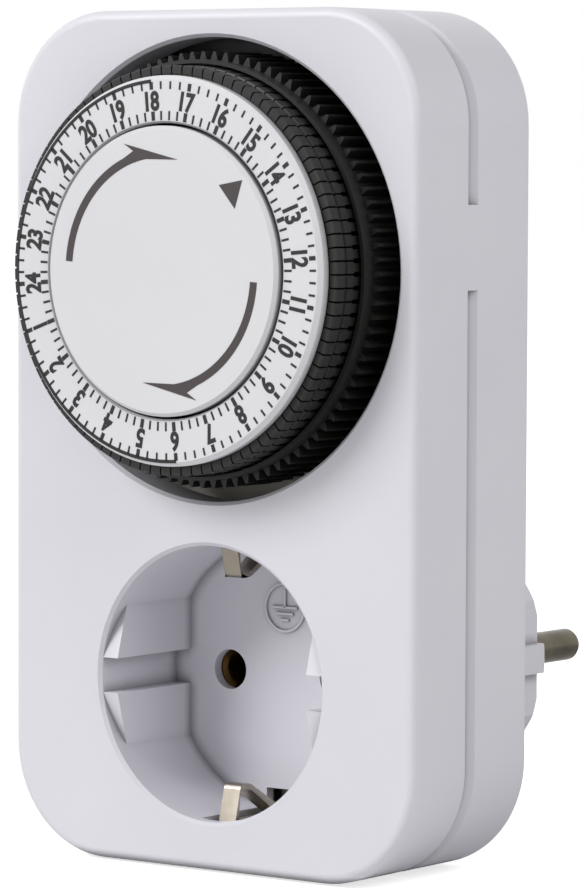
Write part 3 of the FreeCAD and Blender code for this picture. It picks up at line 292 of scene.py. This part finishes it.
# Printed scale
def tick(cage, angle, span, width):
    """One tick along a radius, wider towards the rim because its sides are radial."""
    half = math.degrees(width / 2 / ((span[0] + span[1]) / 2))
    outline = [
        dial_point(span[0], angle - half),
        dial_point(span[1], angle - half),
        dial_point(span[1], angle + half),
        dial_point(span[0], angle + half),
    ]
    extrude_outline(cage, outline, SCALE_FACE, SCALE_FACE - INK_THICKNESS * MM)


def build_ticks(cage):
    step = 360 / QUARTERS
    for quarter in range(QUARTERS):
        angle = HOUR_TWELVE_ANGLE + quarter * step
        width = HOUR_TICK_WIDTH if quarter % 4 == 0 else QUARTER_TICK_WIDTH
        tick(cage, angle, OUTER_TICK, width)
        tick(cage, angle, INNER_TICK, width)


def build_night_arc(cage):
    """The dark arc outside the ticks from six in the evening to six in the morning."""
    start = hour_angle(ARC_START_HOUR)
    end = start + 180
    outer = arc_points(OUTER_TICK[1] + ARC_WIDTH, start, end, ARC_STEPS)
    inner = arc_points(OUTER_TICK[1] - ARC_WIDTH / 3, end, start, ARC_STEPS)
    extrude_outline(cage, outer + inner, SCALE_FACE, SCALE_FACE - INK_THICKNESS * MM)


def text_mesh(words, height):
    """A mesh of the words in bold condensed figures, centred on the origin, upright and facing -Y."""
    curve = bpy.data.curves.new("figures", "FONT")
    curve.body = words
    curve.size = height * MM / CAPITAL_SHARE
    curve.offset = DIGIT_BOLD * height * MM
    curve.extrude = INK_THICKNESS * MM / 2
    curve.align_x = "CENTER"
    curve.align_y = "CENTER"
    curve.space_character = DIGIT_SPACING
    curve.resolution_u = 4
    holder = bpy.data.objects.new("figures", curve)
    bpy.context.scene.collection.objects.link(holder)
    bpy.context.view_layer.update()
    mesh = bpy.data.meshes.new_from_object(holder.evaluated_get(bpy.context.evaluated_depsgraph_get()))
    bpy.data.objects.remove(holder)
    stand = Matrix.Rotation(math.radians(90), 4, "X") @ Matrix.Diagonal((DIGIT_CONDENSE, 1.0, 1.0, 1.0))
    mesh.transform(stand)
    lows = [min(vertex.co[axis] for vertex in mesh.vertices) for axis in range(3)]
    highs = [max(vertex.co[axis] for vertex in mesh.vertices) for axis in range(3)]
    middle = Vector((lows[0] + highs[0], lows[1] + highs[1], lows[2] + highs[2])) / 2
    mesh.transform(Matrix.Translation(-middle))
    return mesh


def build_numbers(cage):
    """The hours 1 to 24, with their tops towards the rim."""
    for hour in range(1, HOURS + 1):
        angle = hour_angle(hour)
        x, z = dial_point(DIGIT_RADIUS, angle)
        mesh = text_mesh(str(hour), DIGIT_HEIGHT)
        turn = Matrix.Rotation(-math.radians(angle - 90), 4, "Y")
        place = Matrix.Translation((x, SCALE_FACE - INK_THICKNESS * MM / 2, z))
        mesh.transform(place @ turn)
        cage.from_mesh(mesh)
        bpy.data.meshes.remove(mesh)


# Marks on the centre disc
ARROW_RADIUS = 16.3
ARROW_HALF_WIDTH = 0.58
ARROW_TAIL_ANGLE = 175.9
ARROW_NECK_ANGLE = 113.0
ARROW_BARB = (18.75, 110.0)
ARROW_TIP = (15.75, 79.0)
ARROW_NOTCH = (17.3, 106.0)
ARROW_INNER_END = 99.0
ARROW_STEPS = 24
TRIANGLE = ((15.8, 49.5), (19.1, 41.7), (15.7, 34.1))


def build_arrow(cage, half_turn):
    """A curved arrow that points clockwise, with a barb on its outer side only.
    The turn is in degrees."""
    inner = ARROW_RADIUS - ARROW_HALF_WIDTH
    outer = ARROW_RADIUS + ARROW_HALF_WIDTH
    tail = ARROW_TAIL_ANGLE + half_turn
    outline = arc_points(inner, tail, ARROW_INNER_END + half_turn, ARROW_STEPS)
    for radius, angle in (ARROW_TIP, ARROW_BARB, ARROW_NOTCH):
        outline.append(dial_point(radius, angle + half_turn))
    outline += arc_points(outer, ARROW_NECK_ANGLE + half_turn, tail, ARROW_STEPS)
    extrude_outline(cage, outline, DISC_FACE, DISC_FACE - INK_THICKNESS * MM)


def build_disc_marks(cage):
    build_arrow(cage, 0)
    build_arrow(cage, 180)
    corners = [dial_point(radius, angle) for radius, angle in TRIANGLE]
    extrude_outline(cage, corners, DISC_FACE, DISC_FACE - INK_THICKNESS * MM)


# Earth straps with the slim rounded hooks that stand in the recess
HOOK_HALF_WIDTH = 1.45
HOOK_START = -43.3
CREST_LEVEL = 17.9
CREST_FORWARD = 1.9
CREST_RISE = 2.2
CREST_ROUNDING = 0.75
CREST_STEPS = 5
STRAP_BEVEL = 0.2
STRAP_FLAT_ANGLE = 0.5
STRAP_BEVEL_ANGLE = 20


def shape_strap(name, side):
    """The strap as the frame has it, with its hook narrower, further forward and taller.
    The side is 1 for the upper strap and -1 for the lower one."""
    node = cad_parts[name]
    mesh = node.data.copy()
    cage = bmesh.new()
    cage.from_mesh(mesh)
    cage.transform(node.matrix_world)
    bmesh.ops.remove_doubles(cage, verts=cage.verts, dist=0.001 * MM)
    bmesh.ops.dissolve_limit(
        cage, angle_limit=math.radians(STRAP_FLAT_ANGLE), verts=cage.verts, edges=cage.edges)
    half_width = max(vertex.co.x for vertex in cage.verts) / MM
    hook = [vertex for vertex in cage.verts if vertex.co.y / MM < HOOK_START]
    crest = [vertex for vertex in hook if abs(vertex.co.z) / MM < CREST_LEVEL]
    for vertex in hook:
        vertex.co.x *= HOOK_HALF_WIDTH / half_width
    for vertex in crest:
        vertex.co.y -= CREST_FORWARD * MM
        vertex.co.z -= side * CREST_RISE * MM
    bends = [
        edge for edge in cage.edges
        if edge.verts[0] in crest and edge.verts[1] in crest
        and abs(edge.verts[0].co.x - edge.verts[1].co.x) > HOOK_HALF_WIDTH * MM
    ]
    bmesh.ops.bevel(
        cage, geom=bends, offset=CREST_ROUNDING * MM, segments=CREST_STEPS, profile=0.5, affect="EDGES")
    cage.to_mesh(mesh)
    cage.free()
    mesh.materials.clear()
    mesh.materials.append(STRAP)
    piece = bpy.data.objects.new(f"{name}_dressed", mesh)
    bpy.context.scene.collection.objects.link(piece)
    rounding = piece.modifiers.new("rounding", "BEVEL")
    rounding.width = STRAP_BEVEL * MM
    rounding.segments = 3
    rounding.limit_method = "ANGLE"
    rounding.angle_limit = math.radians(STRAP_BEVEL_ANGLE)
    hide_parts(name)
    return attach(piece, "housing")


# Earth sign raised on the floor of the recess
RECESS_DEPTH = 17.5
RECESS_FLOOR = COVER_LOW.y + RECESS_DEPTH * MM
SIGN_RADIUS = 3.6
SIGN_LINE = 0.34
SIGN_HEIGHT = 0.3
SIGN_PLACE = (0.5, 9.6)
SIGN_SINK = 0.1
RING_STEPS = 64
STEM_SHARE = 0.72
SIGN_BARS = ((0.0, 0.62), (-0.9, 0.42), (-1.8, 0.2))


def build_ring(cage, x, z, radius, line, back, front):
    """A raised ring with a square section."""
    for k in range(RING_STEPS):
        first = 2 * math.pi * k / RING_STEPS
        second = 2 * math.pi * (k + 1) / RING_STEPS
        outline = []
        inner = radius - line
        for reach, angle in ((radius, first), (radius, second), (inner, second), (inner, first)):
            outline.append(((x + reach * math.cos(angle)) * MM, (z + reach * math.sin(angle)) * MM))
        extrude_outline(cage, outline, back, front)


def build_bar(cage, x_low, x_high, z_low, z_high, back, front):
    corners = ((x_low, z_low), (x_high, z_low), (x_high, z_high), (x_low, z_high))
    outline = [(x * MM, z * MM) for x, z in corners]
    extrude_outline(cage, outline, back, front)


def build_earth_sign(cage):
    x, z = SIGN_PLACE
    back = RECESS_FLOOR + SIGN_SINK * MM
    front = RECESS_FLOOR - SIGN_HEIGHT * MM
    build_ring(cage, x, z, SIGN_RADIUS, SIGN_LINE, back, front)
    half = SIGN_LINE / 2
    build_bar(cage, x - half, x + half, z, z + STEM_SHARE * SIGN_RADIUS, back, front)
    for level, share in SIGN_BARS:
        reach = share * SIGN_RADIUS
        build_bar(cage, x - reach, x + reach, z + level - half, z + level + half, back, front)


# Stage
FLOOR_LIFT = 0.72
FLOOR_SHADE = (0.82, 0.82, 0.82, 1.0)
FLOOR_REACH = 4.0
FLOOR_GAP = 0.3
WORLD_STRENGTH = 0.32
WORLD_COLOUR = (0.98, 0.98, 1.0, 1.0)
WHITE = (1.0, 1.0, 1.0, 1.0)
LIGHT_TARGET = (0.0, -0.045, 0.034)


def area_light(name, place, target, width, power):
    lamp = bpy.data.lights.new(name, "AREA")
    lamp.shape = "DISK"
    lamp.size = width
    lamp.energy = power
    holder = bpy.data.objects.new(name, lamp)
    holder.location = place
    holder.rotation_euler = (target - place).to_track_quat("-Z", "Y").to_euler()
    bpy.context.scene.collection.objects.link(holder)


def white_to_camera(tree, dim, target):
    """Mixes in plain white wherever the camera, a reflection or a clear material sees the world."""
    path = tree.nodes.new("ShaderNodeLightPath")
    first = tree.nodes.new("ShaderNodeMath")
    first.operation = "MAXIMUM"
    tree.links.new(path.outputs["Is Camera Ray"], first.inputs[0])
    tree.links.new(path.outputs["Is Glossy Ray"], first.inputs[1])
    second = tree.nodes.new("ShaderNodeMath")
    second.operation = "MAXIMUM"
    tree.links.new(first.outputs[0], second.inputs[0])
    tree.links.new(path.outputs["Is Transmission Ray"], second.inputs[1])
    white = tree.nodes.new("ShaderNodeBackground")
    white.inputs["Color"].default_value = WHITE
    white.inputs["Strength"].default_value = 1.0
    mix = tree.nodes.new("ShaderNodeMixShader")
    tree.links.new(second.outputs[0], mix.inputs[0])
    tree.links.new(dim, mix.inputs[1])
    tree.links.new(white.outputs[0], mix.inputs[2])
    tree.links.new(mix.outputs[0], target)


def set_world():
    world = bpy.data.worlds.new("studio")
    bpy.context.scene.world = world
    world.use_nodes = True
    tree = world.node_tree
    background = tree.nodes["Background"]
    background.inputs["Color"].default_value = WORLD_COLOUR
    background.inputs["Strength"].default_value = WORLD_STRENGTH
    output = tree.nodes["World Output"]
    white_to_camera(tree, background.outputs[0], output.inputs["Surface"])


def set_floor():
    """A wide pale floor just under the housing."""
    level = COVER_LOW.z - FLOOR_GAP * MM
    mesh = bpy.data.meshes.new("floor")
    cage = bmesh.new()
    signs = ((-1, -1), (1, -1), (1, 1), (-1, 1))
    cage.faces.new([cage.verts.new((x * FLOOR_REACH, y * FLOOR_REACH, level)) for x, y in signs])
    cage.to_mesh(mesh)
    cage.free()
    floor = bpy.data.objects.new("floor", mesh)
    bpy.context.scene.collection.objects.link(floor)
    material, tree, shader = new_material("floor_paper", FLOOR_SHADE, 0.8)
    path = tree.nodes.new("ShaderNodeLightPath")
    lift = tree.nodes.new("ShaderNodeMath")
    lift.operation = "MULTIPLY"
    lift.inputs[1].default_value = FLOOR_LIFT
    tree.links.new(path.outputs["Is Camera Ray"], lift.inputs[0])
    shader.inputs["Emission Color"].default_value = WHITE
    tree.links.new(lift.outputs[0], shader.inputs["Emission Strength"])
    mesh.materials.append(material)


def set_lights():
    middle = Vector(LIGHT_TARGET)
    area_light("key", Vector((-0.8, -1.25, 1.0)), middle, 0.8, 19.5)
    area_light("fill", Vector((1.1, -0.25, 0.8)), middle, 0.9, 6.0)


def set_camera():
    direction = Vector((
        -math.sin(CAMERA_YAW) * math.cos(CAMERA_PITCH),
        math.cos(CAMERA_YAW) * math.cos(CAMERA_PITCH),
        -math.sin(CAMERA_PITCH),
    ))
    level = Vector((math.cos(CAMERA_YAW), math.sin(CAMERA_YAW), 0.0))
    upright = level.cross(direction)
    right = level * math.cos(CAMERA_ROLL) + upright * math.sin(CAMERA_ROLL)
    up = upright * math.cos(CAMERA_ROLL) - level * math.sin(CAMERA_ROLL)
    turn = Matrix((right, up, -direction)).transposed().to_4x4()
    camera = bpy.data.cameras.new("camera")
    camera.sensor_fit = "VERTICAL"
    camera.sensor_height = SENSOR_HEIGHT
    camera.lens = CAMERA_LENS
    camera.clip_start = 0.01
    camera.clip_end = 20.0
    holder = bpy.data.objects.new("camera", camera)
    holder.matrix_world = Matrix.Translation(CAMERA_PLACE) @ turn
    bpy.context.scene.collection.objects.link(holder)
    bpy.context.scene.camera = holder


paint_nodes()
add_mesh("scale_ticks", build_ticks, INK, "dial")
add_mesh("scale_night_arc", build_night_arc, INK, "dial")
add_mesh("scale_numbers", build_numbers, INK, "dial")
add_mesh("disc_marks", build_disc_marks, ARROW_INK, "housing")
add_mesh("earth_sign", build_earth_sign, SHELL, "housing")
shape_strap("earth_strap_upper", 1)
shape_strap("earth_strap_lower", -1)
set_world()
set_floor()
set_lights()
set_camera()
bpy.context.scene.view_settings.view_transform = "Standard"
